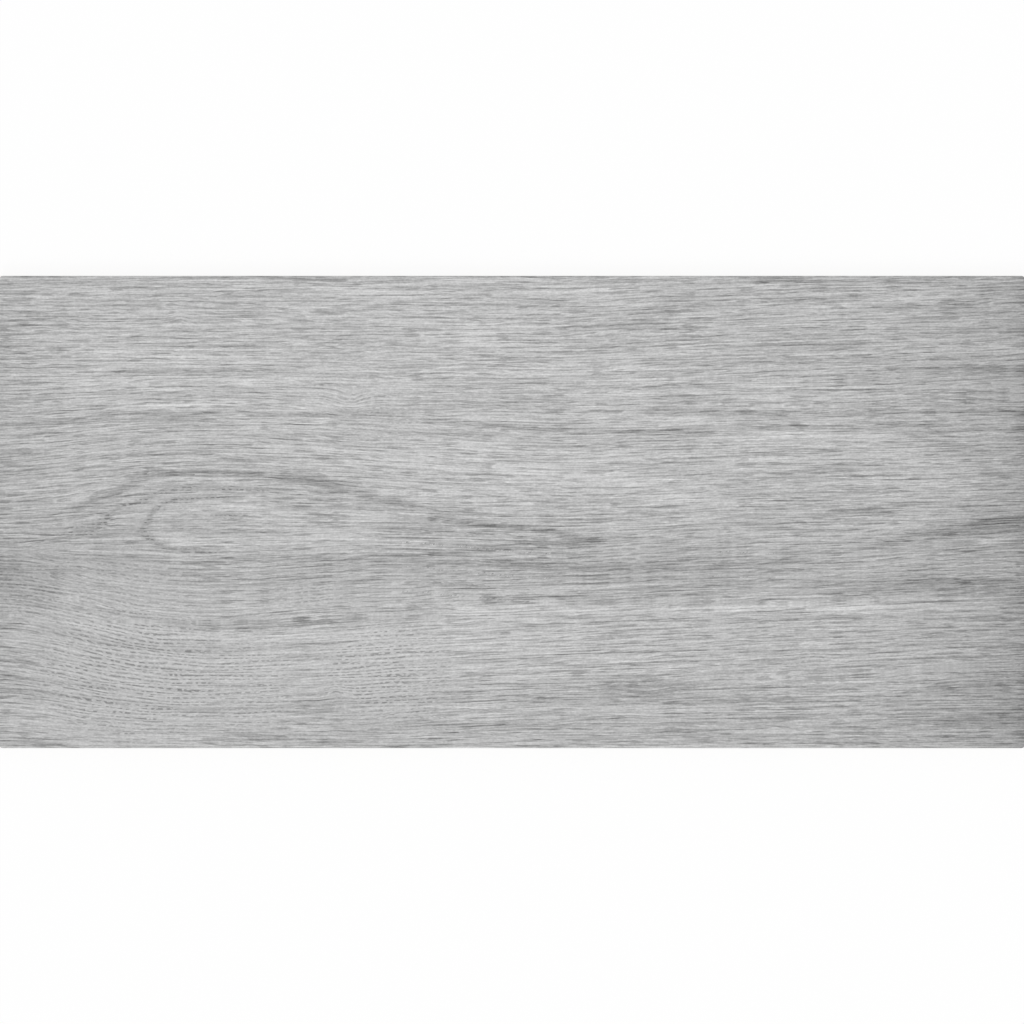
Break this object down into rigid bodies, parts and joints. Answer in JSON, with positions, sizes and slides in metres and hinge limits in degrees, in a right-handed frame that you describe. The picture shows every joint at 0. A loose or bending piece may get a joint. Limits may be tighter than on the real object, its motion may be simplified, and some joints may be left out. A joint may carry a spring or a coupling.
{
  "type": "wood-look wall tile",
  "caption": "Rectangular glazed ceramic wall tile with a grey oak-look printed face, cushioned edges and a keyed back for adhesive.",
  "frame": {"origin": "centre of the plane that the tile's back lies on", "axes": "+X along the printed grain, the tile's length; +Y across the grain; +Z out of the glazed face"},
  "size_m": [0.5, 0.23, 0.008],
  "materials": {
    "printed_glaze": "satin"
  },
  "bodies": {
    "root": {"tile": "printed_glaze"}
  },
  "joints": []
}
